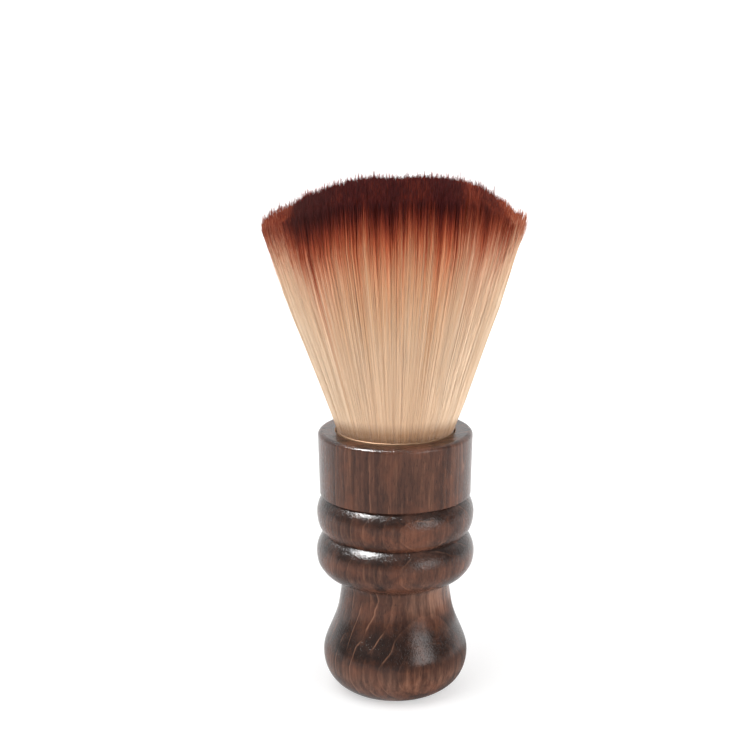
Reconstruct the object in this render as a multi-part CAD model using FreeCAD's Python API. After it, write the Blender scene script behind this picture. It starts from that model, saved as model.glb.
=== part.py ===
import FreeCAD, Part
import math
import os

# Neck duster brush: a turned handle with a fibre knot seated in its socket.
# Millimetres, +Z up, origin at the centre of the foot the brush stands on,
# Z along the turning axis. The tuft is wider along X than along Y.

Vector = FreeCAD.Vector

TOTAL_H = 145.0          # foot to the top of the tuft
HANDLE_H = 76.3          # foot to the rim of the collar
CLEAR = 0.02             # clearance between seated pieces

# ---- handle outline; points are (radius, height) --------------------------
COLLAR_R_TOP = 21.50
COLLAR_R_BOTTOM = 21.08
COLLAR_Z_BOTTOM = 58.1
RIM_FILLET = 1.25
COLLAR_FOOT_FILLET = 0.5

# Two beads below the collar, each under a narrow V groove
GROOVE_1 = (20.15, 57.85)
BEAD_1_CREST = (21.97, 52.8)
BEAD_1_LOW = [(21.90, 51.6), (21.66, 50.2), (21.12, 48.65), (20.42, 47.5)]
GROOVE_2 = (19.85, 46.9)
BEAD_2_CREST = (22.15, 41.3)
BEAD_2_LOW = [
    (22.03, 39.9), (21.68, 38.4), (20.90, 36.95), (19.78, 35.55),
    (18.40, 34.45), (17.20, 33.85),
]
SWELL_STEPS = 8          # intervals along the upper half of a bead

# Crisp shoulder under the second bead, then the neck and the bulb
SHOULDER = (16.15, 33.55)
NECK = [(15.50, 32.6), (15.25, 31.2)]
BULB = [
    (15.52, 28.7), (16.05, 25.3), (17.06, 21.8), (18.46, 18.4), (19.62, 15.5),
    (20.26, 13.2), (20.40, 11.2), (20.14, 8.8), (19.15, 5.9), (17.50, 3.5),
    (15.62, 1.9), (14.10, 0.95), (12.45, 0.25),
]
FOOT_R = 11.1            # flat disc the brush stands on

# Socket bored in the top of the handle
SOCKET_R = 16.45
SOCKET_DEPTH = 20.0
SOCKET_CHAMFER = 0.35
SOCKET_FLOOR_Z = HANDLE_H - SOCKET_DEPTH

# ---- cups nested in the socket, from the outside in -----------------------
GLUE_WALL = 0.30         # from the socket wall, so it includes the clearance
GLUE_FLOOR = 0.60
GLUE_TOP_GAP = 1.2       # how far the glue stops below the rim
GLUE_R_OUT = SOCKET_R - CLEAR
GLUE_R_IN = SOCKET_R - GLUE_WALL
GLUE_Z = SOCKET_FLOOR_Z + CLEAR

FERRULE_WALL = 0.35
FERRULE_FLOOR = 0.60
FERRULE_R_OUT = GLUE_R_IN - CLEAR
FERRULE_R_IN = FERRULE_R_OUT - FERRULE_WALL
FERRULE_Z = GLUE_Z + GLUE_FLOOR + CLEAR
LIP_R = 0.26             # radius of the rolled lip's round edge
LIP_PROUD = 0.05         # how far the lip's centre stands above the rim
LIP_Z = HANDLE_H + LIP_PROUD

RESIN_FLOOR = 1.60
RESIN_H = 7.0
RESIN_R_OUT = FERRULE_R_IN - CLEAR
RESIN_Z = FERRULE_Z + FERRULE_FLOOR + CLEAR
RESIN_TOP_Z = RESIN_Z + RESIN_H

# ---- held end of the fibre bundle, and its cord ---------------------------
ROOT_R_RESIN = 14.75     # inside the resin
ROOT_R_CORD = 14.55      # under the cord
ROOT_R_MOUTH = 15.45     # just above the ferrule lip
ROOT_R_TOP = 16.6        # at the edge of the domed seat
ROOT_Z = RESIN_Z + RESIN_FLOOR + CLEAR

CORD_R = 0.42
CORD_TURNS = 5
CORD_PITCH = 1.9 * CORD_R    # under two radii, so the turns overlap and fuse
CORD_Z = RESIN_TOP_Z + CLEAR + CORD_R    # centre of the lowest turn
CORD_TOP_Z = CORD_Z + (CORD_TURNS - 1) * CORD_PITCH + CORD_R

# Flank of the bundle between the cord and the edge of the seat
FLANK_START_GAP = 0.3    # start of the flare, above the cord
FLARE_RISE = 2.2         # second flank point, above the cord
FLARE_SPREAD = 0.25      # and outside the radius under the cord
THROAT_DEPTH = 3.0       # third flank point, below the rim
THROAT_INSET = 0.12      # and inside the mouth radius
MOUTH_RISE = 0.9         # mouth, above the rim

# Spherical gap between the held and the free fibres, centred at the rim
FLEX_R = 19.5            # hollow under the free tuft
FLEX_GAP = 0.40
FLEX_Z = HANDLE_H
SEAT_R = FLEX_R - FLEX_GAP

# ---- free tuft ------------------------------------------------------------
# (height, half-width along X, half-depth along Y); the last station lies
# above the tip, and the dome trims it
TUFT_STATIONS = [
    (80.0, 17.35, 16.9),
    (90.0, 20.9, 17.9),
    (105.0, 26.1, 19.2),
    (120.0, 31.4, 20.6),
    (130.0, 35.0, 21.5),
    (147.0, 37.6, 22.6),
]
DOME_R = 64.4            # radius of the tip surface across the width
DOME_R_DEPTH = 100.0     # its radius at the tip across the depth, flatter


# ---- helpers: profiles are drawn as (radius, height) in the XZ plane -------
def point(radius, z):
    return Vector(radius, 0, z)


def line(start, end):
    return Part.makeLine(point(*start), point(*end))


def arc(start, middle, end):
    return Part.Arc(point(*start), point(*middle), point(*end)).toShape()


def spline(points):
    curve = Part.BSplineCurve()
    curve.interpolate([point(*p) for p in points])
    return curve.toShape()


def turned(wire):
    return Part.Face(wire).revolve(Vector(0, 0, 0), Vector(0, 0, 1), 360)


def cup(r_out, r_in, bottom, top, floor):
    """Open-topped round cup with a flat floor of the given thickness."""
    corners = [
        (0, bottom), (r_out, bottom), (r_out, top),
        (r_in, top), (r_in, bottom + floor), (0, bottom + floor),
    ]
    points = [point(*p) for p in corners]
    return turned(Part.makePolygon(points + [points[0]]))


def ring(centre_r, section_r, z):
    return Part.makeTorus(centre_r, section_r, Vector(0, 0, z), Vector(0, 0, 1))


def write(shape, name):
    if shape.ShapeType != "Compound":
        shape = shape.removeSplitter()
    assert shape.isValid(), name
    shape.exportStep(os.path.join("parts", name + ".step"))


# ---- pieces ---------------------------------------------------------------
def swell(groove, crest):
    """Upper half of a bead: the circle that rises out of a V groove and
    stands upright at the crest of the bead."""
    (groove_r, groove_z), (crest_r, crest_z) = groove, crest
    drop = groove_z - crest_z
    rise = crest_r - groove_r
    radius = (drop ** 2 + rise ** 2) / (2 * rise)
    start = math.asin(drop / radius)
    angles = [start * i / SWELL_STEPS for i in range(SWELL_STEPS, -1, -1)]
    return [(crest_r - radius * (1 - math.cos(angle)), crest_z + radius * math.sin(angle))
            for angle in angles]


def make_handle():
    # Socket, from the axis out to the rim
    floor_centre = (0, SOCKET_FLOOR_Z)
    floor_edge = (SOCKET_R, SOCKET_FLOOR_Z)
    chamfer_low = (SOCKET_R, HANDLE_H - SOCKET_CHAMFER)
    rim_in = (SOCKET_R + SOCKET_CHAMFER, HANDLE_H)

    # Collar; the middle of a quarter arc lies inset from both sides
    inset_ratio = 1 - math.sqrt(0.5)
    rim_inset = RIM_FILLET * inset_ratio
    rim_out = (COLLAR_R_TOP - RIM_FILLET, HANDLE_H)
    rim_mid = (COLLAR_R_TOP - rim_inset, HANDLE_H - rim_inset)
    side_top = (COLLAR_R_TOP, HANDLE_H - RIM_FILLET)
    low_inset = COLLAR_FOOT_FILLET * inset_ratio
    side_low = (COLLAR_R_BOTTOM, COLLAR_Z_BOTTOM + COLLAR_FOOT_FILLET)
    low_mid = (COLLAR_R_BOTTOM - low_inset, COLLAR_Z_BOTTOM + low_inset)
    low_in = (COLLAR_R_BOTTOM - COLLAR_FOOT_FILLET, COLLAR_Z_BOTTOM)

    foot_edge = (FOOT_R, 0)
    foot_centre = (0, 0)
    return turned(Part.Wire([
        line(foot_centre, floor_centre),
        line(floor_centre, floor_edge),
        line(floor_edge, chamfer_low),
        line(chamfer_low, rim_in),
        line(rim_in, rim_out),
        arc(rim_out, rim_mid, side_top),
        line(side_top, side_low),
        arc(side_low, low_mid, low_in),
        line(low_in, GROOVE_1),
        spline(swell(GROOVE_1, BEAD_1_CREST) + BEAD_1_LOW + [GROOVE_2]),
        spline(swell(GROOVE_2, BEAD_2_CREST) + BEAD_2_LOW + [SHOULDER]),
        spline([SHOULDER] + NECK + BULB + [foot_edge]),
        line(foot_edge, foot_centre),
    ]))


def make_glue():
    return cup(GLUE_R_OUT, GLUE_R_IN, GLUE_Z, HANDLE_H - GLUE_TOP_GAP, GLUE_FLOOR)


def make_ferrule():
    """Thin cup with a rolled lip."""
    body = cup(FERRULE_R_OUT, FERRULE_R_IN, FERRULE_Z, LIP_Z, FERRULE_FLOOR)
    return body.fuse(ring(FERRULE_R_IN + LIP_R, LIP_R, LIP_Z))


def make_resin():
    return cup(RESIN_R_OUT, ROOT_R_RESIN + CLEAR, RESIN_Z, RESIN_TOP_Z, RESIN_FLOOR)


def make_cord():
    """Stacked rings round the fibre bundle, just above the resin."""
    turns = [ring(ROOT_R_CORD + CLEAR + CORD_R, CORD_R, CORD_Z + i * CORD_PITCH)
             for i in range(CORD_TURNS)]
    cord = turns[0]
    for turn in turns[1:]:
        cord = cord.fuse(turn)
    return cord


def make_root():
    """Held fibres, from the resin floor to a domed seat above the rim."""
    bottom_centre = (0, ROOT_Z)
    bottom_edge = (ROOT_R_RESIN, ROOT_Z)
    step_out = (ROOT_R_RESIN, RESIN_TOP_Z)
    step_in = (ROOT_R_CORD, RESIN_TOP_Z)
    flank_start = (ROOT_R_CORD, CORD_TOP_Z + FLANK_START_GAP)
    seat_edge = (ROOT_R_TOP, FLEX_Z + math.sqrt(SEAT_R ** 2 - ROOT_R_TOP ** 2))
    half_angle = 0.5 * math.asin(ROOT_R_TOP / SEAT_R)
    seat_mid = (SEAT_R * math.sin(half_angle), FLEX_Z + SEAT_R * math.cos(half_angle))
    seat_top = (0, FLEX_Z + SEAT_R)
    return turned(Part.Wire([
        line(bottom_centre, bottom_edge),
        line(bottom_edge, step_out),
        line(step_out, step_in),
        line(step_in, flank_start),
        spline([
            flank_start,
            (ROOT_R_CORD + FLARE_SPREAD, CORD_TOP_Z + FLARE_RISE),
            (ROOT_R_MOUTH - THROAT_INSET, HANDLE_H - THROAT_DEPTH),
            (ROOT_R_MOUTH, HANDLE_H + MOUTH_RISE),
            seat_edge,
        ]),
        arc(seat_edge, seat_mid, seat_top),
        line(seat_top, bottom_centre),
    ]))


def make_tuft():
    """Free fibres: flared oval tuft with a domed tip and a hollow underside."""
    ovals = [Part.Wire([Part.Ellipse(Vector(0, 0, z), half_width, half_depth).toShape()])
             for z, half_width, half_depth in TUFT_STATIONS]
    tuft = Part.makeLoft(ovals, True, False)

    # Stretching a sphere by s along Y makes its radius at the tip s^2 times larger
    stretch = FreeCAD.Matrix()
    stretch.scale(1.0, math.sqrt(DOME_R_DEPTH / DOME_R), 1.0)
    dome = Part.makeSphere(DOME_R).transformGeometry(stretch)
    dome.translate(Vector(0, 0, TOTAL_H - DOME_R))

    tuft = tuft.common(dome)
    tuft = tuft.cut(Part.makeSphere(FLEX_R, Vector(0, 0, FLEX_Z)))
    return max(tuft.Solids, key=lambda solid: solid.Volume)


os.makedirs("parts", exist_ok=True)
write(make_handle(), "handle")
write(make_glue(), "socket_adhesive")
write(make_ferrule(), "knot_ferrule")
write(make_resin(), "knot_resin")
write(make_cord(), "binding_cord")
write(make_root(), "bristle_root")
write(make_tuft(), "bristle_head")
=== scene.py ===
"""Shaving brush: a turned, lacquered wooden handle with a fan-shaped tuft of dyed fibre.

The brush stands upright on z = 0 with its axis on +Z. The tuft is widest along x.
The camera looks from the front (-y), so +x is on the right. The scene is in metres;
the tuft is worked out in millimetres.
"""

import math

import bpy
import numpy as np
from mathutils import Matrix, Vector


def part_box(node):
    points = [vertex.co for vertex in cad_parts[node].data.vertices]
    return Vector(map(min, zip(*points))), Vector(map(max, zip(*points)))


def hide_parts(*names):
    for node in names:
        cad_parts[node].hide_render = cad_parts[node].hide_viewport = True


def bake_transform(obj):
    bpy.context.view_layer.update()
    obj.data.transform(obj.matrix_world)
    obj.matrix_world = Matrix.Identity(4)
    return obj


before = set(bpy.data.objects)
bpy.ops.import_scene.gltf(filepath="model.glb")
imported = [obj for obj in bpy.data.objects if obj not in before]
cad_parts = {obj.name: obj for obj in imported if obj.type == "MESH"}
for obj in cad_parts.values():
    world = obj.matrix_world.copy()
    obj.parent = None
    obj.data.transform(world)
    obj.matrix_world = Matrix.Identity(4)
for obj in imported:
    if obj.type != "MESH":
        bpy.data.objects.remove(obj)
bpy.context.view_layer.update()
MM = 0.001


# --------------------------------------------------------------------------
# Node helpers
# --------------------------------------------------------------------------
class Graph:
    """Short calls that add nodes to a tree. Each returns an output socket."""

    def __init__(self, tree):
        self.tree = tree

    def node(self, kind):
        return self.tree.nodes.new(kind)

    def put(self, value, socket):
        if isinstance(value, bpy.types.NodeSocket):
            self.tree.links.new(value, socket)
        elif value is not None:
            socket.default_value = value

    def math(self, op, a, b=None):
        n = self.node("ShaderNodeMath")
        n.operation = op
        self.put(a, n.inputs[0])
        self.put(b, n.inputs[1])
        return n.outputs[0]

    def fold(self, op, first, *rest):
        for value in rest:
            first = self.math(op, first, value)
        return first

    def add(self, *terms):
        return self.fold("ADD", *terms)

    def mul(self, *factors):
        return self.fold("MULTIPLY", *factors)

    def sub(self, a, b):
        return self.math("SUBTRACT", a, b)

    def centred(self, value, width):
        """A 0..1 value moved to centre on zero and scaled to the given width."""
        return self.mul(self.sub(value, 0.5), width)

    def vector_value(self, op, a, b=None):
        """Vector operation with a single number as its result."""
        n = self.node("ShaderNodeVectorMath")
        n.operation = op
        self.put(a, n.inputs[0])
        self.put(b, n.inputs[1])
        return n.outputs["Value"]

    def xyz(self, vector):
        n = self.node("ShaderNodeSeparateXYZ")
        self.put(vector, n.inputs[0])
        return n.outputs

    def vector(self, x, y, z):
        n = self.node("ShaderNodeCombineXYZ")
        for value, socket in zip((x, y, z), n.inputs):
            self.put(value, socket)
        return n.outputs[0]

    def coord(self, which="Object"):
        return self.node("ShaderNodeTexCoord").outputs[which]

    def normal_z(self):
        return self.xyz(self.node("ShaderNodeNewGeometry").outputs["Normal"])[2]

    def glossy_ray(self):
        return self.node("ShaderNodeLightPath").outputs["Is Glossy Ray"]

    def uv(self, layer):
        n = self.node("ShaderNodeUVMap")
        n.uv_map = layer
        return n.outputs[0]

    def noise(self, vector, stretch=None, shift=(0, 0, 0), scale=1.0,
              detail=3.0, rough=0.5, distort=0.0):
        """Noise; stretch gives a separate frequency for each axis."""
        if stretch:
            m = self.node("ShaderNodeMapping")
            self.put(vector, m.inputs[0])
            m.inputs["Location"].default_value = shift
            m.inputs["Scale"].default_value = stretch
            vector = m.outputs[0]
        n = self.node("ShaderNodeTexNoise")
        self.put(vector, n.inputs["Vector"])
        n.inputs["Scale"].default_value = scale
        n.inputs["Detail"].default_value = detail
        n.inputs["Roughness"].default_value = rough
        n.inputs["Distortion"].default_value = distort
        return n.outputs[0]

    def white(self, value):
        n = self.node("ShaderNodeTexWhiteNoise")
        n.noise_dimensions = "1D"
        self.put(value, n.inputs["W"])
        return n.outputs[0]

    def ramp(self, value, stops):
        """Colour ramp; each stop is a position and a grey or a linear colour."""
        n = self.node("ShaderNodeValToRGB")
        elements = n.color_ramp.elements
        while len(elements) < len(stops):
            elements.new(0.5)
        for element, (position, colour) in zip(elements, stops):
            if isinstance(colour, float):
                colour = (colour,) * 3
            element.position = position
            element.color = (*colour, 1.0)
        self.put(value, n.inputs[0])
        return n.outputs[0]

    def remap(self, value, span, to=(0.0, 1.0), smooth=False):
        """Map span to another range, clamped at both ends."""
        n = self.node("ShaderNodeMapRange")
        if smooth:
            n.interpolation_type = "SMOOTHSTEP"
        for v, socket in zip((value, *span, *to), n.inputs):
            self.put(v, socket)
        return n.outputs[0]

    def mix(self, under, over, mask=1.0, strength=None, mode="MIX"):
        """Lay one colour over another where mask (times strength) is high."""
        if strength is not None:
            mask = self.mul(mask, strength)
        n = self.node("ShaderNodeMix")
        n.data_type = "RGBA"
        n.blend_type = mode
        n.clamp_factor = True
        self.put(mask, n.inputs[0])
        for colour, socket in ((under, n.inputs[6]), (over, n.inputs[7])):
            self.put((*colour, 1.0) if isinstance(colour, tuple) else colour, socket)
        return n.outputs[2]

    def bump(self, height, strength, distance):
        n = self.node("ShaderNodeBump")
        n.inputs["Strength"].default_value = strength
        n.inputs["Distance"].default_value = distance
        self.put(height, n.inputs["Height"])
        return n.outputs[0]


class Material(Graph):
    """A material with a single Principled BSDF."""

    def __init__(self, name):
        self.mat = bpy.data.materials.new(name)
        self.mat.use_nodes = True
        super().__init__(self.mat.node_tree)
        self.tree.nodes.clear()
        output = self.node("ShaderNodeOutputMaterial")
        self.bsdf = self.node("ShaderNodeBsdfPrincipled")
        self.put(self.bsdf.outputs[0], output.inputs[0])

    def set(self, name, value):
        self.put(value, self.bsdf.inputs[name])


def srgb(r, g, b):
    """sRGB 0..255 to linear."""
    return tuple(
        (c / 255 / 12.92) if c / 255 <= 0.04045 else ((c / 255 + 0.055) / 1.055) ** 2.4
        for c in (r, g, b)
    )


# --------------------------------------------------------------------------
# Wood: dark stained, lacquered beech. Spans of x, y and z are places in metres.
# --------------------------------------------------------------------------
PITH_X, PITH_Y = -0.0357, 0.0602    # the pith lies behind and to the left
PITH_LEAN = (-0.03, 0.05)           # drift of ring places in x and y per metre of height
RINGS_PER_M = 330.0                 # a ring about every 3 mm


def year_rings(g, p, x, y, z):
    """Random value per year, late wood, and the thin line between years.

    The rings cross the handle as nearly flat, slightly wavy sheets.
    """
    warp = g.noise(p, stretch=(70, 70, 26), detail=2.0)
    ripple = g.noise(p, stretch=(260, 260, 190), shift=(3, 1, 7), detail=2.0)
    from_x = g.add(x, -PITH_X, g.mul(z, PITH_LEAN[0]))
    from_y = g.add(y, -PITH_Y, g.mul(z, PITH_LEAN[1]))
    radius = g.math("SQRT", g.add(g.mul(from_x, from_x), g.mul(from_y, from_y)))
    radius = g.add(radius, g.centred(warp, width=0.0052), g.centred(ripple, width=0.0011))
    turns = g.mul(radius, RINGS_PER_M)
    season = g.math("FRACT", turns)
    year = g.white(g.math("FLOOR", turns))
    late = g.ramp(season, [(0.0, 0.0), (0.05, 0.05), (0.55, 0.15), (0.86, 0.9),
                           (0.93, 1.0), (0.96, 0.0), (1.0, 0.0)])
    line = g.ramp(season, [(0.0, 0.9), (0.035, 0.5), (0.07, 0.0),
                           (0.945, 0.0), (0.985, 1.0), (1.0, 1.0)])
    return year, late, line


def grain_colour(g, p, year, late, fibres, streak, pore):
    """Streaks and bands, then rings, flecks, fibres and pores over them."""
    band = g.noise(p, stretch=(240, 240, 9), shift=(5, 2, 1), detail=2.0)
    base = g.ramp(streak, [
        (0.30, srgb(51, 31, 25)), (0.43, srgb(74, 45, 36)), (0.55, srgb(91, 58, 45)),
        (0.64, srgb(110, 72, 54)), (0.74, srgb(140, 97, 76))])
    warm = g.ramp(band, [
        (0.34, srgb(66, 41, 32)), (0.46, srgb(81, 51, 39)),
        (0.56, srgb(92, 59, 45)), (0.70, srgb(108, 70, 53))])
    col = g.mix(base, warm, mask=0.45)
    col = g.mix(col, srgb(104, 66, 48), mask=year, strength=0.18)
    col = g.mix(col, srgb(38, 21, 17), mask=late, strength=0.52)
    fleck = g.noise(p, stretch=(1500, 1500, 190), shift=(8, 2, 2), detail=2.0, rough=0.6)
    dark_fleck = g.remap(fleck, span=(0.54, 0.70))
    col = g.mix(col, srgb(30, 18, 14), mask=dark_fleck, strength=0.34)
    pale_fleck = g.remap(fleck, span=(0.44, 0.30))
    col = g.mix(col, srgb(142, 98, 76), mask=pale_fleck, strength=0.20)
    fibre_mask = g.remap(fibres, span=(0.42, 0.70))
    col = g.mix(col, srgb(44, 26, 20), mask=fibre_mask, strength=0.30)
    return g.mix(col, srgb(24, 14, 11), mask=pore, strength=0.5)


def stain_colour(g, p, x, z, col, small):
    """Uneven stain and blotches; darker patches on upper slopes, partly pooled stain and partly
    painted shade; painted dark reflections down the middles.
    """
    blotch = g.noise(p, stretch=(120, 120, 95), shift=(2.3, 8, 5), rough=0.6, distort=0.5)
    # end grain drinks more stain: the shoulders of the beads and the foot
    endgrain = g.remap(g.math("ABSOLUTE", g.normal_z()), span=(0.25, 0.95))
    faces_up = g.remap(g.normal_z(), span=(0.03, 0.34))
    dark = g.add(g.mul(blotch, 0.70), g.mul(small, 0.30))
    dark = g.remap(dark, span=(0.47, 0.60))
    drink = g.add(g.remap(z, span=(0.055, 0.060), to=(0.32, 0.16)), g.mul(endgrain, 0.60))
    col = g.mix(col, srgb(26, 16, 13), mask=g.mul(dark, drink))
    red = g.remap(blotch, span=(0.50, 0.36))
    col = g.mix(col, srgb(116, 68, 47), mask=red, strength=0.30)

    # darker patches on the upper slopes of the beads and bulb, partly pooled stain and partly
    # painted shade for the dark room these slopes reflect, but not on the waist or the flat top of
    # the collar
    patches = g.noise(p, stretch=(210, 210, 260), shift=(6, 3, 8), detail=4.0,
                      rough=0.65, distort=0.3)
    edge = g.noise(p, stretch=(170, 170, 60), shift=(1, 9, 4), rough=0.6)
    ragged_z = g.add(z, g.centred(edge, width=0.024))
    off_waist = g.add(g.remap(ragged_z, span=(0.0275, 0.0195)),
                      g.remap(z, span=(0.0350, 0.0370)))
    allowed = g.mul(off_waist, g.remap(z, span=(0.0745, 0.0725)))
    stain_and_painted_shade = g.mul(faces_up, g.remap(patches, span=(0.36, 0.58), to=(0.50, 1.0)), allowed)
    col = g.mix(col, srgb(27, 15, 11), mask=stain_and_painted_shade, strength=0.88)

    # painted dark reflection: a darker band down the middle of the bulb, and a fainter one near
    # the top
    off_centre = g.math("ABSOLUTE", g.add(x, 0.001))
    painted_dark_reflection = g.mul(g.remap(off_centre, span=(0.0100, 0.0030)),
                  g.remap(z, span=(0.0270, 0.0235)),
                  g.remap(z, span=(0.0085, 0.0130)))
    col = g.mix(col, srgb(30, 18, 15), mask=painted_dark_reflection, strength=0.42)
    off_centre = g.math("ABSOLUTE", g.add(x, 0.0005))
    middle = g.mul(g.remap(off_centre, span=(0.0075, 0.0020)),
                   g.remap(z, span=(0.0560, 0.0590)))
    return g.mix(col, srgb(34, 20, 16), mask=middle, strength=0.24)


def pale_colour(g, p, x, y, z, col, line, streak):
    """Paler places: pale ring lines; a painted highlight on the right of the waist; painted floor
    light low on the bulb; painted light in the chamfer at the lip.
    """
    broken = g.noise(p, stretch=(300, 300, 60), shift=(7, 7, 1), detail=2.0)
    lit = g.mul(line, g.remap(broken, span=(0.44, 0.60)))
    low = g.remap(z, span=(0.037, 0.030))
    low_left = g.remap(x, span=(0.003, -0.006), to=(0.04, 0.48))
    high_right = g.mul(g.remap(x, span=(-0.004, 0.004), to=(0.26, 0.50)),
                       g.remap(z, span=(0.056, 0.060), to=(0.35, 1.0)))
    sides = g.add(g.mul(low, low_left), g.mul(g.sub(1.0, low), high_right))
    col = g.mix(col, srgb(158, 112, 88), mask=g.mul(lit, sides))

    # painted highlight on the right of the waist, and painted light from the floor low on the
    # bulb, above the foot
    waist = g.mul(g.remap(z, span=(0.0245, 0.0285)),
                  g.remap(z, span=(0.0345, 0.0325)),
                  g.remap(x, span=(0.002, 0.009)))
    under = g.mul(g.remap(z, span=(0.0125, 0.0080), to=(0.0, 0.48)),
                  g.remap(z, span=(0.0035, 0.0080)))
    streaked = g.remap(streak, span=(0.40, 0.60), to=(0.10, 0.42))
    col = g.mix(col, srgb(168, 124, 102), mask=g.mul(g.add(waist, under), streaked))

    # painted light in the chamfer round the metal lip, lifting the shade in that recess
    radius = g.vector_value("LENGTH", g.vector(x, y, 0.0))
    chamfer_painted_light = g.mul(g.remap(radius, span=(0.01690, 0.01678)),
                 g.remap(z, span=(0.0754, 0.0757)))
    return g.mix(col, srgb(186, 150, 116), mask=chamfer_painted_light)


def wood():
    g = Material("lacquered_wood")
    p = g.coord()
    x, y, z = g.xyz(p)
    year, late, line = year_rings(g, p, x, y, z)
    # fine fibres, streaks and pores run along the grain
    fibres = g.noise(p, stretch=(2300, 2300, 110), rough=0.6)
    streak = g.noise(p, stretch=(760, 760, 20), shift=(1, 2, 3), rough=0.6)
    pore = g.noise(p, stretch=(4200, 4200, 520), shift=(9, 4, 2), detail=1.0)
    pore = g.remap(pore, span=(0.60, 0.70))
    small = g.noise(p, stretch=(420, 420, 300), shift=(4, 1, 5), rough=0.6)

    col = grain_colour(g, p, year, late, fibres, streak, pore)
    col = stain_colour(g, p, x, z, col, small)
    g.set("Base Color", pale_colour(g, p, x, y, z, col, line, streak))
    g.set("Roughness", g.add(0.45, g.mul(fibres, 0.2)))
    g.set("Specular IOR Level", 0.06)

    # the lacquer is thinner on the front right of the bulb, just over and under its belly
    thin = g.add(g.mul(g.remap(z, span=(0.0205, 0.0228)), g.remap(z, span=(0.0300, 0.0270))),
                 g.remap(z, span=(0.0150, 0.0130)))
    front_right = g.mul(g.remap(x, span=(-0.001, 0.003)), g.remap(y, span=(0.004, -0.002)))
    g.set("Coat Weight", g.sub(0.78, g.mul(g.mul(thin, front_right), 0.50)))
    g.set("Coat Roughness", g.add(0.02, g.mul(small, 0.08)))
    g.set("Coat IOR", 1.5)

    # fibres stand up and pores sink; the lacquer follows faintly, with orange peel
    relief = g.add(g.mul(fibres, 0.5), g.mul(pore, -0.6))
    g.set("Normal", g.bump(relief, strength=0.3, distance=0.00008))
    peel = g.noise(p, stretch=(2100, 2100, 1700), detail=2.0, rough=0.6)
    peel = g.mul(peel, g.remap(z, span=(0.024, 0.034), to=(0.45, 1.0)))
    coat_relief = g.add(g.mul(relief, 0.4), peel)
    g.set("Coat Normal", g.bump(coat_relief, strength=0.80, distance=0.00013))
    return g.mat


# --------------------------------------------------------------------------
# Ferrule, glue and cord
# --------------------------------------------------------------------------
def ferrule_metal():
    g = Material("ferrule_metal")
    brush = g.noise(g.coord(), stretch=(900, 900, 9000), rough=0.6)
    g.set("Base Color", g.ramp(brush, [(0.3, srgb(128, 100, 76)), (0.7, srgb(164, 134, 106))]))
    g.set("Metallic", 0.6)
    g.set("Roughness", g.add(0.46, g.mul(brush, 0.18)))
    g.set("Normal", g.bump(brush, strength=0.2, distance=0.00003))
    return g.mat


def glue(name, dark, pale, rough):
    g = Material(name)
    cloud = g.noise(g.coord(), scale=380.0, rough=0.6)
    g.set("Base Color", g.ramp(cloud, [(0.35, dark), (0.65, pale)]))
    g.set("Roughness", g.add(rough, g.mul(cloud, 0.2)))
    g.set("Coat Weight", 0.5)
    g.set("Normal", g.bump(cloud, strength=0.3, distance=0.0001))
    return g.mat


def cord():
    g = Material("twisted_cord")
    x, y, z = g.xyz(g.coord())
    angle = g.math("ARCTAN2", y, x)
    # plies per radian round the cord's ring, and per metre of height
    ply = g.math("FRACT", g.add(g.mul(angle, 18.0), g.mul(z, 900.0)))
    ply = g.math("ABSOLUTE", g.sub(g.mul(ply, 2.0), 1.0))
    fuzz = g.noise(g.coord(), scale=3500.0, rough=0.6)
    col = g.mix(srgb(168, 152, 126), srgb(226, 214, 190), mask=ply)
    g.set("Base Color", g.mix(col, srgb(190, 174, 146), mask=fuzz, strength=0.3))
    g.set("Roughness", 0.85)
    g.set("Sheen Weight", 0.3)
    relief = g.add(ply, g.mul(fuzz, 0.3))
    g.set("Normal", g.bump(relief, strength=0.6, distance=0.00015))
    return g.mat


def dress(node, mat):
    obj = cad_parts[node]
    if not obj.material_slots:
        obj.data.materials.append(mat)
    for slot in obj.material_slots:
        slot.material = mat


dress("handle", wood())
dress("knot_ferrule", ferrule_metal())
dress("socket_adhesive",
      glue("cured_glue", dark=srgb(150, 112, 62), pale=srgb(186, 146, 88), rough=0.25))
dress("knot_resin",
      glue("potting_resin", dark=srgb(186, 152, 98), pale=srgb(214, 184, 130), rough=0.2))
dress("binding_cord", cord())

# --------------------------------------------------------------------------
# Fibre: beige filament, dyed rust red and dark brown towards the tip.
# UV layer "OFBake": u picks one of COLUMNS shades (levels of painted edge glare by steps
# of dye), v runs from the mouth (0) to the tip (1).
# --------------------------------------------------------------------------
UV_LAYER = "OFBake"
PAINTED_GLARE_LEVELS = 4
DYE_STEPS = 64
COLUMNS = PAINTED_GLARE_LEVELS * DYE_STEPS
FIBRE_MM = 69.0
DYE_LOW = -0.35          # reach of the least dyed fibres; the most dyed have 1
# Dye along the fibre: mm from the tip, sRGB colour
DYE = [
    (0.0, (75, 30, 30)), (1.2, (67, 25, 24)), (4.0, (116, 45, 34)), (7.4, (160, 72, 48)),
    (10.8, (190, 103, 69)), (14.2, (206, 133, 95)), (19.0, (216, 158, 119)),
    (26.0, (218, 171, 132)), (34.0, (221, 183, 147)), (40.0, (223, 190, 158)),
]
# Painted backlight: the tips of the longest hairs are painted redder, as they look with light let
# through them; the rest is dye
FINE_DYE_AND_BACKLIGHT = [(0.0, (152, 45, 34)), (1.5, (126, 38, 29)), (4.0, (114, 45, 34))] + DYE[3:]
DYE_SPAN = DYE[-1][0]


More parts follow.
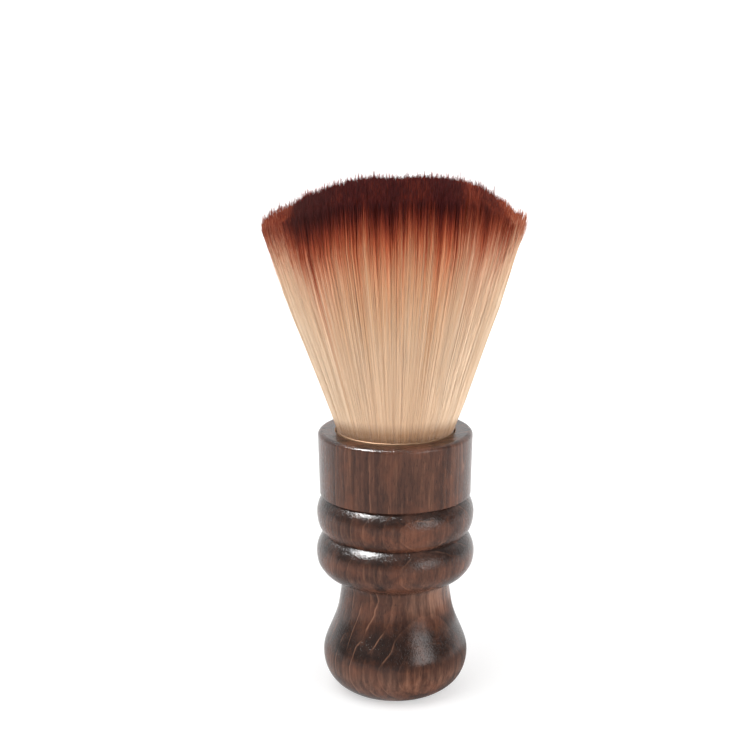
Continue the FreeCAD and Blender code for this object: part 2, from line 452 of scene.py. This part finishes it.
def fibre(name, roughness=0.42, painted_bounce_tint=None, bloom=0.30, dye=DYE):
    g = Material(name)
    u, v, _ = g.xyz(g.uv(UV_LAYER))
    column = g.math("FLOOR", g.mul(u, COLUMNS))
    level = g.math("FLOOR", g.math("DIVIDE", column, DYE_STEPS))
    reach = g.sub(column, g.mul(level, DYE_STEPS))
    reach = g.remap(reach, span=(0.0, DYE_STEPS - 1), to=(DYE_LOW, 1.0))
    # two independent random values per column
    random_tint = g.white(g.add(column, 0.37))
    random_fade = g.white(g.add(column, 71.13))
    # distance from the tip in mm; a fibre that drank more dye fades later
    distance = g.mul(g.sub(1.0, v), FIBRE_MM)
    distance = g.sub(distance, g.centred(reach, width=9.0))
    stretch = g.add(g.sub(1.33, g.mul(reach, 0.70)), g.centred(random_fade, width=0.16))
    fade = g.math("DIVIDE", g.mul(distance, stretch), DYE_SPAN)
    col = g.ramp(fade, [(mm / DYE_SPAN, srgb(*colour)) for mm, colour in dye])
    # tint differs a little from fibre to fibre
    tint = g.ramp(random_tint, [
        (0.0, (0.93, 0.89, 0.84)), (0.25, (0.98, 0.965, 0.95)),
        (0.75, (1.01, 1.01, 1.01)), (1.0, (1.04, 1.05, 1.06))])
    col = g.mix(col, tint, mode="MULTIPLY")
    # painted glare: the outermost fibres at the narrow ends are painted paler, like light wrapping
    # round from the white surroundings
    pale = g.mul(level, g.remap(fade, span=(0.22, 0.50), to=(0.005, 0.180)))
    col = g.mix(col, srgb(250, 228, 200), mask=pale)
    # painted shade: darker and tawny where the fibres leave the mouth
    low = g.add(g.remap(v, span=(0.112, 0.062), to=(0.0, 0.70)),
                g.remap(v, span=(0.050, 0.015), to=(0.0, 0.25)))
    col = g.mix(col, srgb(158, 112, 74), mask=low)
    # painted bounce light: a warmer tint for fibres deep in the bundle, for light scattered
    # between the fibres
    if painted_bounce_tint:
        col = g.mix(col, painted_bounce_tint, mode="MULTIPLY")
    g.set("Base Color", col)
    g.set("Roughness", roughness)
    g.set("IOR", 1.5)
    g.set("Specular IOR Level",
          g.remap(fade, span=(0.1, 0.5), to=(0.015, 0.12)) if bloom else 0.0)
    # pale undyed fibre has a soft bloom at grazing angles
    g.set("Sheen Weight", g.remap(fade, span=(0.25, 0.8), to=(0.0, bloom)))
    g.set("Sheen Roughness", 0.4)
    return g.mat


# --------------------------------------------------------------------------
# Tuft shape. All lengths here in mm.
# A fibre's place in the bundle is a point (qx, qy) of the unit disc.
# --------------------------------------------------------------------------
RIM_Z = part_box("handle")[1].z / MM
TOP_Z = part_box("bristle_head")[1].z / MM
MOUTH_Z = RIM_Z - 1.5
SKIN_START_Z = MOUTH_Z - 1.0
TIP_LEVEL = 136.0        # height where the plan place of the tips is taken
HALF_WIDTH, HALF_DEPTH = 36.0, 22.0     # the tuft near its tips
DEPTH_RADIUS = 100.0     # curve of the tip surface from front to back

# Outline: height, half-width to the left, half-width to the right, half-depth
OUTLINE = np.array([
    (MOUTH_Z, 15.45, 15.45, 15.4),
    (76.3, 15.75, 15.75, 15.65),
    (76.7, 16.10, 16.15, 15.95),
    (77.4, 16.40, 16.50, 16.20),
    (79.0, 16.8, 17.0, 16.5),
    (85.0, 18.9, 19.2, 17.6),
    (91.0, 21.0, 21.2, 18.3),
    (96.0, 23.0, 22.6, 18.8),
    (101.0, 24.8, 24.4, 19.2),
    (107.0, 27.1, 26.6, 19.8),
    (113.0, 29.5, 28.7, 20.3),
    (119.0, 31.5, 30.5, 20.8),
    (124.0, 33.1, 32.0, 21.2),
    (128.0, 34.7, 33.3, 21.6),
    (131.0, 35.8, 34.2, 21.9),
    (134.0, 36.1, 34.9, 22.1),
    (138.0, 36.2, 35.5, 22.2),
    (147.0, 36.4, 36.0, 22.4),
])
# Tip surface: x, how far the tips lie under the top
DROP = np.array([
    (-38.0, 15.0), (-36.5, 13.2), (-34.0, 11.2), (-30.0, 8.9), (-26.7, 6.7), (-23.4, 4.6),
    (-20.0, 3.5), (-16.8, 2.5), (-13.5, 1.4), (-10.0, 0.6), (-6.8, 0.25), (-2.0, 0.35),
    (3.0, 0.1), (8.0, 0.0), (12.0, 0.25), (16.4, 0.8), (19.7, 1.6), (23.0, 2.6),
    (26.3, 5.0), (29.6, 7.5), (32.9, 10.2), (36.0, 12.4), (38.0, 13.8),
])
# Dye across the tuft: qx, how far the dye has wicked
REACH = np.array([
    (-1.00, 0.00), (-0.95, 0.16), (-0.88, 0.16), (-0.80, 0.25), (-0.71, 0.68), (-0.62, 0.72),
    (-0.56, 0.74), (-0.48, 0.56), (-0.41, 0.49), (-0.34, 0.58), (-0.27, 0.54), (-0.19, 0.42),
    (-0.08, 0.52), (0.00, 0.52), (0.09, 0.37), (0.25, 0.42), (0.36, 0.61), (0.46, 0.53),
    (0.54, 0.30), (0.60, 0.42), (0.66, 0.54), (0.73, 0.48), (0.80, 0.38), (0.88, 0.10),
    (0.95, -0.08), (1.00, -0.14),
])
# Streaks in the dye: weight, size round the outline, size inwards, seed
DYE_STREAKS = [(0.06, 3.1, 5.0, 6), (0.09, 1.1, 3.0, 7), (0.18, 0.34, 2.0, 9)]
# Level of painted edge glare across the tuft: |qx|, level
PAINTED_GLARE = np.array([(0.35, 0.0), (0.50, 0.8), (0.62, 1.6), (0.75, 2.1), (0.90, 2.5), (1.0, 3.0)])
# Part of the fibre's dyed end lost in trimming: qx, share of the length
TRIM = np.array([
    (-0.97, 0.022), (-0.90, 0.030), (-0.80, 0.026), (-0.66, 0.0),
    (0.45, 0.0), (0.62, 0.042), (0.86, 0.042), (0.95, 0.015),
])


def lookup(value, table, column=1):
    return np.interp(value, table[:, 0], table[:, column])


def smoothstep(t):
    t = np.clip(t, 0, 1)
    return t * t * (3 - 2 * t)


def outline(z, right):
    """Half-width and half-depth of the tuft at height z."""
    return np.where(right, lookup(z, OUTLINE, 2), lookup(z, OUTLINE, 1)), lookup(z, OUTLINE, 3)


def tip_z(x, y):
    sag = DEPTH_RADIUS - np.sqrt(DEPTH_RADIUS ** 2 - y ** 2)
    return TOP_Z - lookup(x, DROP) - sag


def place(qx, qy, z):
    """Plan position of fibres at height z."""
    half_width, half_depth = outline(z, qx > 0)
    return qx * half_width, qy * half_depth


def smooth_noise(x, y, seed, freq=1.0):
    """Cheap seeded value noise, -1..1."""
    size = 64
    table = np.random.default_rng(seed).random((size, size)) * 2 - 1
    x, y = x * freq + 17.3, y * freq + 9.1
    i, j = np.floor(x).astype(int), np.floor(y).astype(int)
    across, up = smoothstep(x - i), smoothstep(y - j)

    def row(k):
        return (table[i % size, k % size] * (1 - across)
                + table[(i + 1) % size, k % size] * across)

    return row(j) * (1 - up) + row(j + 1) * up


def disc_points(count, seed, inner=0.0, outer=1.0):
    rng = np.random.default_rng(seed)
    radius = np.sqrt(inner ** 2 + (outer ** 2 - inner ** 2) * rng.random(count))
    angle = rng.random(count) * 2 * math.pi
    return radius * np.cos(angle), radius * np.sin(angle)


# Tips gather in small locks, as clean soft filament does.
LOCKS = 1500
lock_x, lock_y = disc_points(LOCKS, seed=11)
lock_length = np.random.default_rng(12).normal(0, 0.20, LOCKS)


def nearest_lock(qx, qy):
    """Nearest lock centre on the tip surface: index and distance."""
    index = np.zeros(len(qx), int)
    gap = np.zeros(len(qx))
    centre_x, centre_y = lock_x * HALF_WIDTH, lock_y * HALF_DEPTH
    batch = 2000             # keeps the distance table small
    for i in range(0, len(qx), batch):
        part = slice(i, i + batch)
        squared = ((qx[part, None] * HALF_WIDTH - centre_x) ** 2
                   + (qy[part, None] * HALF_DEPTH - centre_y) ** 2)
        index[part] = squared.argmin(1)
        gap[part] = np.sqrt(squared.min(1))
    return index, gap


def dye_reach(qx, qy, jitter):
    """How far the dye has wicked into each fibre, about 0..1. Neighbours in a
    clump share it, so the dye ends in streaks."""
    # about mm round the outline, and mm outwards
    along = np.arctan2(qy * HALF_DEPTH, qx * HALF_WIDTH) * 30.0
    outwards = np.hypot(qx, qy) * 12.0
    reach = lookup(qx, REACH)
    for weight, round_size, inward_size, seed in DYE_STREAKS:
        reach = reach + weight * smooth_noise(along / round_size, outwards / inward_size, seed)
    return reach + jitter


def shade_column(qx, qy, jitter, seed):
    """Column of the fibre's shade: dye step within its level of bloom."""
    rng = np.random.default_rng(seed)
    dye = (dye_reach(qx, qy, jitter) - DYE_LOW) / (1 - DYE_LOW) * DYE_STEPS
    dye = np.clip(dye, 0, DYE_STEPS - 1).astype(int)
    # level of painted edge glare
    bloom = (lookup(np.abs(qx), PAINTED_GLARE) + rng.random(len(qx))).astype(int)
    return np.clip(bloom, 0, PAINTED_GLARE_LEVELS - 1) * DYE_STEPS + dye


def tuft_object(name, mesh, uv, mat):
    """Smooth-shaded object from a mesh and its flat array of loop UVs."""
    layer = mesh.uv_layers.new(name=UV_LAYER)
    layer.data.foreach_set("uv", uv)
    mesh.polygons.foreach_set("use_smooth", np.ones(len(mesh.polygons), bool))
    obj = bpy.data.objects.new(name, mesh)
    bpy.context.scene.collection.objects.link(obj)
    mesh.materials.append(mat)
    return obj


# --------------------------------------------------------------------------
# Filaments
# --------------------------------------------------------------------------
SIDES = 3


def fibre_tips(rng, qx, qy, thinning, short):
    """Height of each tip: the tip surface, uneven from lock to lock."""
    n = len(qx)
    lock, gap = nearest_lock(qx, qy)
    # a lock's tips are highest at its centre
    top = (tip_z(*place(qx, qy, TIP_LEVEL)) + 0.7 + lock_length[lock]
           - 0.5 * np.minimum(gap / 0.8, 1.3) ** 2 + rng.normal(0, 0.36, n))
    # a few fibres stop short, and fewer stand proud
    chance = rng.random(n)
    top -= np.where(chance < 0.22, np.minimum(rng.exponential(1.6, n), 6.0), 0.0)
    top += np.where(chance > 0.985, rng.random(n) * 0.9, 0.0)
    # the tip surface falls away a little towards the back and the two ends
    back = smoothstep((qy + 0.15) / 0.55)
    ends = smoothstep((np.abs(qx) - 0.50) / 0.30)
    top -= thinning * np.maximum(back, 0.9 * ends)
    return top - short, lock


def centre_lines(rng, qx, qy, start_z, segs, lock_pull, wander, thinning, spread, flare, short):
    """Points along each fibre, and their share of the way from mouth to tip."""
    n = len(qx)
    pull = lock_pull * (0.7 + 0.6 * rng.random(n))
    top, lock = fibre_tips(rng, qx, qy, thinning, short)
    start_z = np.broadcast_to(np.asarray(start_z, float), (n,))
    stations = np.linspace(0, 1, segs + 1)
    if segs > 5:                       # closer stations where the fibres leave the mouth
        stations = stations ** 1.35
    z = start_z[:, None] + (top - start_z)[:, None] * stations[None]
    along = np.clip((z - MOUTH_Z) / (top - MOUTH_Z)[:, None], 0, 1)
    x, y = place(qx[:, None], qy[:, None], z)
    # drift to the lock centre near the tip
    tip_x, tip_y = place(qx, qy, TIP_LEVEL)
    centre_x = lock_x[lock] * np.where(lock_x[lock] > 0, 35.4, 36.2)
    centre_y = lock_y[lock] * 22.1
    drift = np.clip((along - 0.78) / 0.22, 0, 1) ** 1.5 * pull[:, None]
    x += (centre_x - tip_x)[:, None] * drift
    y += (centre_y - tip_y)[:, None] * drift
    # each fibre leans and bows by its own amount
    size = wander * 0.55
    lean_x, lean_y = rng.normal(0, 1, (2, n))
    bow_x, bow_y = rng.normal(0, 1, (2, n))
    lean, bow = along ** 1.5, np.sin(along * math.pi)
    x += size * (lean_x[:, None] * lean * 0.38 + bow_x[:, None] * bow * 0.32)
    y += size * (lean_y[:, None] * lean * 0.38 + bow_y[:, None] * bow * 0.22)
    if spread is not None:
        if flare is None:
            share = along ** 1.2
        else:
            first = along[:, :1]
            share = ((along - first) / np.maximum(1 - first, 1e-3)) ** flare
        x += spread[0][:, None] * share
        y += spread[1][:, None] * share
    return np.stack([x, y, z], -1), along


def section_rings(rng, points, along, r_base, r_tip):
    """Three-cornered sections round the centre lines, tapered near the tip."""
    n = len(points)
    ahead = np.gradient(points, axis=1)
    ahead /= np.linalg.norm(ahead, axis=2, keepdims=True)
    ref = np.stack([np.cos(rng.random(n) * 6.283), np.sin(rng.random(n) * 6.283),
                    np.zeros(n)], -1)
    ref /= np.linalg.norm(ref, axis=1, keepdims=True)
    ref = ref[:, None, :]
    side = ref - ahead * (ahead * ref).sum(2, keepdims=True)
    side /= np.linalg.norm(side, axis=2, keepdims=True)
    other = np.cross(ahead, side)
    thick = (0.8 + 0.4 * rng.random(n))[:, None]
    taper = np.where(along < 0.72, 1.0, 1.0 - (along - 0.72) / 0.28 * (1 - r_tip / r_base))
    radius = (r_base * thick * taper)[..., None]
    angles = [2 * math.pi * j / SIDES for j in range(SIDES)]
    return np.stack([points + (math.cos(a) * side + math.sin(a) * other) * radius
                     for a in angles], 2)


def filament_mesh(name, rings, segs):
    """All filaments as one mesh: side quads first, then the end triangles."""
    n = len(rings)
    quads = []
    for i in range(segs):
        for j in range(SIDES):
            a, b = i * SIDES + j, i * SIDES + (j + 1) % SIDES
            quads.append((a, b, b + SIDES, a + SIDES))
    last = segs * SIDES
    caps = np.array([(2, 1, 0), (last, last + 1, last + 2)])
    base = (np.arange(n) * (segs + 1) * SIDES)[:, None, None]
    loops = np.concatenate([(np.array(quads)[None] + base).reshape(-1),
                            (caps[None] + base).reshape(-1)])
    quad_count, cap_count = n * len(quads), n * 2
    starts = np.concatenate([np.arange(quad_count) * 4,
                             quad_count * 4 + np.arange(cap_count) * 3])
    verts = rings.reshape(-1, 3) * MM
    mesh = bpy.data.meshes.new(name)
    mesh.vertices.add(len(verts))
    mesh.vertices.foreach_set("co", verts.astype(np.float32).ravel())
    mesh.loops.add(len(loops))
    mesh.loops.foreach_set("vertex_index", loops.astype(np.int32))
    mesh.polygons.add(quad_count + cap_count)
    mesh.polygons.foreach_set("loop_start", starts.astype(np.int32))
    mesh.update(calc_edges=True)
    return mesh


def filament_uv(column, along, segs):
    """Loop UVs in the face order of filament_mesh, inside each shade column."""
    n = len(column)
    station = np.repeat(np.arange(segs), SIDES)
    quads = np.empty((n, segs * SIDES, 4, 2), np.float32)
    quads[:, :, [0, 3], 0] = ((column + 0.08) / COLUMNS)[:, None, None]
    quads[:, :, [1, 2], 0] = ((column + 0.92) / COLUMNS)[:, None, None]
    quads[:, :, :2, 1] = along[:, station][..., None]
    quads[:, :, 2:, 1] = along[:, station + 1][..., None]
    caps = np.empty((n, 2, 3, 2), np.float32)
    caps[..., 0] = ((column[:, None] + np.array([0.1, 0.5, 0.9])) / COLUMNS)[:, None, :]
    caps[..., 1] = along[:, [0, segs]][..., None]
    return np.concatenate([quads.reshape(-1), caps.reshape(-1)])


def strands(name, qx, qy, start_z, segs, seed, mat, r_base, lock_pull, r_tip=0.03,
            wander=1.0, thinning=0.45, spread=None, flare=None, short=0.0):
    """Tapered three-sided filaments, each closed at both ends, as one mesh."""
    rng = np.random.default_rng(seed)
    points, along = centre_lines(rng, qx, qy, start_z, segs, lock_pull, wander,
                                 thinning, spread, flare, short)
    rings = section_rings(rng, points, along, r_base, r_tip)
    mesh = filament_mesh(name, rings, segs)
    column = shade_column(qx, qy, rng.normal(0, 0.12, len(qx)), seed + 5000)
    # fibres at the narrow ends lost their darkest millimetres when trimmed
    along = along - lookup(qx, TRIM)[:, None] * along ** 8
    return tuft_object(name, mesh, filament_uv(column, along, segs), mat)


# --------------------------------------------------------------------------
# Packed middle
# --------------------------------------------------------------------------
CORE_UNDER = 9.0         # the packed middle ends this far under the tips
CORE_FOOT_Z = MOUTH_Z - 2.0
CORE_RINGS = 60
CORE_COLUMNS = 240
DOME_RINGS = 22


def core(name, mat):
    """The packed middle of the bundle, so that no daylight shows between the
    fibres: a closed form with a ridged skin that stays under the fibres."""
    cols = CORE_COLUMNS
    angle = np.linspace(0, 2 * math.pi, cols, endpoint=False)
    qx, qy = np.cos(angle), np.sin(angle)
    rings, along = [], []
    tip_x, tip_y = place(qx, qy, 134.0)
    top = tip_z(tip_x * 0.86, tip_y * 0.86) - CORE_UNDER
    for s in np.linspace(0, 1, CORE_RINGS):
        z = CORE_FOOT_Z + (top - MOUTH_Z + 2.0) * s
        half_width, half_depth = outline(z, qx > 0)
        inset = 0.955 - 0.07 * s
        ridges = 1 + 0.012 * smooth_noise(angle * 22, s * 2, seed=3) * min(1, s * 4)
        rings.append(np.stack([qx * half_width * inset * ridges,
                               qy * half_depth * inset * ridges, z], -1))
        along.append(np.clip((z - MOUTH_Z) / (top + CORE_UNDER + 1.0 - MOUTH_Z), 0, 1))
    # domed top, in shrinking rings
    dome_along = 1 - CORE_UNDER / FIBRE_MM
    rim = rings[-1]
    for j in range(1, DOME_RINGS):
        shrink = 1 - j / DOME_RINGS
        x, y = rim[:, 0] * shrink, rim[:, 1] * shrink
        z = tip_z(x, y) - CORE_UNDER + 0.4 * smooth_noise(x, y, seed=8, freq=0.9)
        rings.append(np.stack([x, y, z], -1))
        along.append(np.full(cols, dome_along))
    count = len(rings)
    bottom = count * cols
    centres = [[0, 0, CORE_FOOT_Z], [0, 0, tip_z(0.0, 0.0) - CORE_UNDER]]
    verts = np.concatenate(rings + [centres])
    faces = []
    for i in range(count - 1):
        for j in range(cols):
            k = (j + 1) % cols
            faces.append((i * cols + j, i * cols + k, (i + 1) * cols + k, (i + 1) * cols + j))
    for j in range(cols):
        k = (j + 1) % cols
        faces.append((bottom, k, j))
        faces.append((bottom + 1, (count - 1) * cols + j, (count - 1) * cols + k))
    mesh = bpy.data.meshes.new(name)
    mesh.from_pydata([tuple(v) for v in verts * MM], [], faces)

    along = np.concatenate(along + [[0.0, dome_along]])
    column = np.tile(shade_column(qx, qy, 0.0, seed=5999), count)
    column = np.concatenate([column, [DYE_STEPS // 2] * 2])
    uv = []
    for face in mesh.polygons:
        corners = list(face.vertices)
        across = (0.1, 0.9, 0.9, 0.1) if len(corners) == 4 else (0.5, 0.1, 0.9)
        for corner, offset in zip(corners, across):
            uv += [(column[corners[0]] + offset) / COLUMNS, along[corner]]
    return tuft_object(name, mesh, np.array(uv, np.float32), mat)


# --------------------------------------------------------------------------
# Layers of the tuft
# --------------------------------------------------------------------------
SKIN_COUNT = 4400
SKIN_RADII = ((0.84, 0.93), (0.90, 0.97), (0.93, 0.99), (0.95, 1.0), (0.97, 1.0))
INNER_COUNT = 5600
FRINGE_COUNT = 5200
POINT_COUNT = 230        # small pointed tufts round the rim
STRAY_COUNT = 90


def outer_layer(i, mat):
    qx, qy = disc_points(SKIN_COUNT, 100 + i, *SKIN_RADII[i])
    return strands(f"fibres_outer_{i + 1}", qx, qy, SKIN_START_Z, segs=7, seed=200 + i,
                   r_base=0.060, r_tip=0.020, lock_pull=0.30, mat=mat)


def inner_layer(i, mat):
    """Short tops only: the core hides the rest."""
    qx, qy = disc_points(INNER_COUNT, 300 + i, outer=0.90)
    start_z = tip_z(*place(qx, qy, TIP_LEVEL)) - 14.0
    return strands(f"fibres_inner_{i + 1}", qx, qy, start_z, segs=4, seed=400 + i,
                   r_base=0.080, lock_pull=0.40, mat=mat)


def fringe(mat):
    """The longest, finest hairs: a thin fringe round the back and the ends of the
    tips, fanning out a little more at the two narrow ends."""
    n = FRINGE_COUNT
    rng = np.random.default_rng(600)
    qx, qy = disc_points(n, 601, inner=0.88)
    qy = np.where((qy < 0) & (np.abs(qx) < 0.90), -qy, qy)        # none along the front
    # some hairs move to the narrow ends
    moved = rng.random(n) < 0.35
    qx = np.where(moved, np.sign(qx) * (1 - 0.18 * rng.random(n) ** 1.2), qx)
    chord = np.sqrt(np.clip(1 - qx ** 2, 0, 1))
    qy = np.where(moved, chord * np.sign(qy) * rng.random(n) ** 0.5, qy)
    ends = np.clip((np.abs(qx) - 0.80) / 0.20, 0, 1)
    fan = rng.exponential(1.0, n) * (0.05 + 0.16 * ends)
    tip_x, tip_y = place(qx, qy, TIP_LEVEL)
    # round the rim the hairs end in pointed tufts, each with its own length
    angle = (np.arange(POINT_COUNT) + rng.normal(0, 0.28, POINT_COUNT)) * 2 * math.pi / POINT_COUNT
    point_x = 35.9 * 0.985 * np.cos(angle)
    point_y = 22.1 * 0.985 * np.sin(angle)
    gap = np.hypot(tip_x[:, None] - point_x, tip_y[:, None] - point_y)
    own = gap.argmin(1)
    gap = gap.min(1)
    beside = np.clip((np.abs(tip_x) - 14.0) / 16.0, 0, 1)
    reach = rng.random(POINT_COUNT)[own] ** 1.3 * (1.1 + 1.3 * beside)
    short = (1.25 * rng.random(n) - reach * np.clip(1 - (gap / 0.75) ** 2, -0.2, 1)
             - rng.exponential(0.20, n))
    gather = 0.62 * np.clip(1.3 - gap / 1.2, 0, 1)
    spread = (qx * fan + (point_x[own] - tip_x) * gather,
              qy * fan * 0.6 + (point_y[own] - tip_y) * gather)
    return strands("fibres_fringe", qx, qy, tip_z(tip_x, tip_y) - 10.0, segs=5, seed=602,
                   r_base=0.052, r_tip=0.026, mat=mat, lock_pull=0.0, wander=0.35,
                   thinning=-1.0, spread=spread, short=short, flare=1.6)


def strays(mat):
    """A few hairs that cross their neighbours."""
    qx, qy = disc_points(STRAY_COUNT, 700, inner=0.985)
    rng = np.random.default_rng(701)
    lean = rng.normal(0, 2.6, STRAY_COUNT)
    out = rng.random(STRAY_COUNT) * 0.25
    return strands("fibres_stray", qx, qy, SKIN_START_Z, segs=7, seed=702, r_base=0.06,
                   mat=mat, lock_pull=0.0, short=rng.random(STRAY_COUNT) * 6.0,
                   spread=(-qy * lean + qx * out, qx * lean * 0.5 + qy * out))


fibre_mat = fibre("dyed_filament")
# the deep fibres and the middle carry a painted warm tint for light scattered inside the bundle
deep_mat = fibre("dyed_filament_deep", roughness=0.5, painted_bounce_tint=(1.06, 0.97, 0.84), bloom=0.0)
core_mat = fibre("bundle_middle", roughness=0.8, painted_bounce_tint=(1.08, 0.95, 0.79), bloom=0.0)
fringe_mat = fibre("dyed_filament_fine_painted_backlight", dye=FINE_DYE_AND_BACKLIGHT)

tuft = [core("fibre_bundle_core", core_mat)]
tuft += [outer_layer(i, fibre_mat if i else deep_mat) for i in range(len(SKIN_RADII))]
tuft += [inner_layer(i, fibre_mat) for i in range(3)]
tuft += [fringe(fringe_mat), strays(fibre_mat)]

for obj in tuft:
    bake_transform(obj)
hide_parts("bristle_root", "bristle_head")


# --------------------------------------------------------------------------
# Studio
# --------------------------------------------------------------------------
def direction(azimuth, elevation):
    """Unit vector; degrees from the camera side, positive to the right, and up."""
    a, e = math.radians(azimuth), math.radians(elevation)
    return Vector((math.sin(a) * math.cos(e), -math.cos(a) * math.cos(e), math.sin(e)))


def floor_material():
    """Polished wood shows the table in front of it falling off into the dark part
    of the room; everything else sees an even pale floor."""
    g = Material("pale_floor")
    y = g.xyz(g.coord())[1]
    glossy = g.glossy_ray()
    fade = g.remap(y, span=(-0.06, 0.13), to=(0.42, 1.0), smooth=True)
    level = g.add(g.mul(glossy, fade), g.sub(1.0, glossy))
    g.set("Base Color", g.mix((0.0, 0.0, 0.0), (0.62, 0.62, 0.62), mask=level))
    g.set("Roughness", 0.9)
    g.set("Specular IOR Level", 0.05)
    g.set("Emission Color", (1.0, 1.0, 1.0, 1.0))
    away = g.vector_value("LENGTH", g.coord())
    glow = g.remap(away, span=(0.08, 0.6), to=(0.46, 0.75))
    g.set("Emission Strength", g.mul(level, glow))
    return g.mat


def make_floor(half=6):
    mesh = bpy.data.meshes.new("floor")
    corners = [(-half, -half, 0), (half, -half, 0), (half, half, 0), (-half, half, 0)]
    mesh.from_pydata(corners, [], [(0, 1, 2, 3)])
    floor = bpy.data.objects.new("floor", mesh)
    bpy.context.scene.collection.objects.link(floor)
    mesh.materials.append(floor_material())


def make_world():
    """Reflections: white backdrop behind the object, a dark room in front, a
    paler ceiling. Everything else: an even soft light."""
    world = bpy.data.worlds.new("studio")
    bpy.context.scene.world = world
    world.use_nodes = True
    g = Graph(world.node_tree)
    x, y, z = g.xyz(g.coord("Generated"))
    behind = g.remap(y, span=(-0.05, 0.65), to=(0.0, 1.02), smooth=True)
    ceiling = g.remap(z, span=(0.45, 0.82), to=(0.07, 0.45), smooth=True)
    room = g.add(behind, g.mul(ceiling, g.sub(1.15, behind)))
    # a large soft panel of light, up to the right; its edge fades between two angles
    facing = g.vector_value("DOT_PRODUCT", g.coord("Generated"),
                            direction(azimuth=47, elevation=11))
    edge = (math.cos(math.radians(23)), math.cos(math.radians(3)))
    room = g.add(room, g.remap(facing, span=edge, to=(0.0, 4.3), smooth=True))
    # the white surroundings light the sides of the object more than its front
    aside = g.math("ABSOLUTE", x, 0.0)
    soft = g.remap(aside, span=(0.30, 0.95), to=(0.58, 1.50), smooth=True)
    glossy = g.glossy_ray()
    background = world.node_tree.nodes["Background"]
    background.inputs[0].default_value = (1.0, 1.0, 1.0, 1.0)
    g.put(g.add(g.mul(glossy, room), g.mul(g.sub(1.0, glossy), soft)), background.inputs[1])


def softbox(name, azimuth, elevation, distance, width, height, radiance,
            glossy=True, diffuse=True):
    """Rectangular light aimed at the middle of the brush."""
    toward = direction(azimuth, elevation)
    light = bpy.data.lights.new(name, "AREA")
    light.shape = "RECTANGLE"
    light.size = width
    light.size_y = height
    light.energy = radiance * math.pi * width * height
    obj = bpy.data.objects.new(name, light)
    obj.location = Vector((0, 0, 0.075)) + toward * distance
    obj.rotation_euler = (-toward).to_track_quat("-Z", "Y").to_euler()
    obj.visible_glossy = glossy
    obj.visible_diffuse = diffuse
    bpy.context.scene.collection.objects.link(obj)


def make_camera():
    data = bpy.data.cameras.new("camera")
    camera = bpy.data.objects.new("camera", data)
    bpy.context.scene.collection.objects.link(camera)
    target = Vector((0, 0, 0.0725))
    camera.location = target + 0.520 * direction(azimuth=0, elevation=15.7)
    camera.rotation_euler = (target - camera.location).to_track_quat("-Z", "Y").to_euler()
    data.sensor_width = 36.0
    data.lens = 89.80608
    data.shift_x = -0.02706667
    data.shift_y = 0.08973333
    data.clip_start = 0.01
    bpy.context.scene.camera = camera


make_floor()
make_world()
softbox("key_left", azimuth=-38, elevation=52, distance=1.2, width=0.8, height=0.8,
        radiance=2.4, glossy=False)
softbox("front_fill", azimuth=28, elevation=18, distance=1.2, width=1.1, height=0.8,
        radiance=2.6, glossy=False)
softbox("window_left", azimuth=-60, elevation=51, distance=0.9, width=0.25, height=0.36,
        radiance=96.0, diffuse=False)
make_camera()

view = bpy.context.scene.view_settings
view.view_transform = "Standard"
view.look = "None"
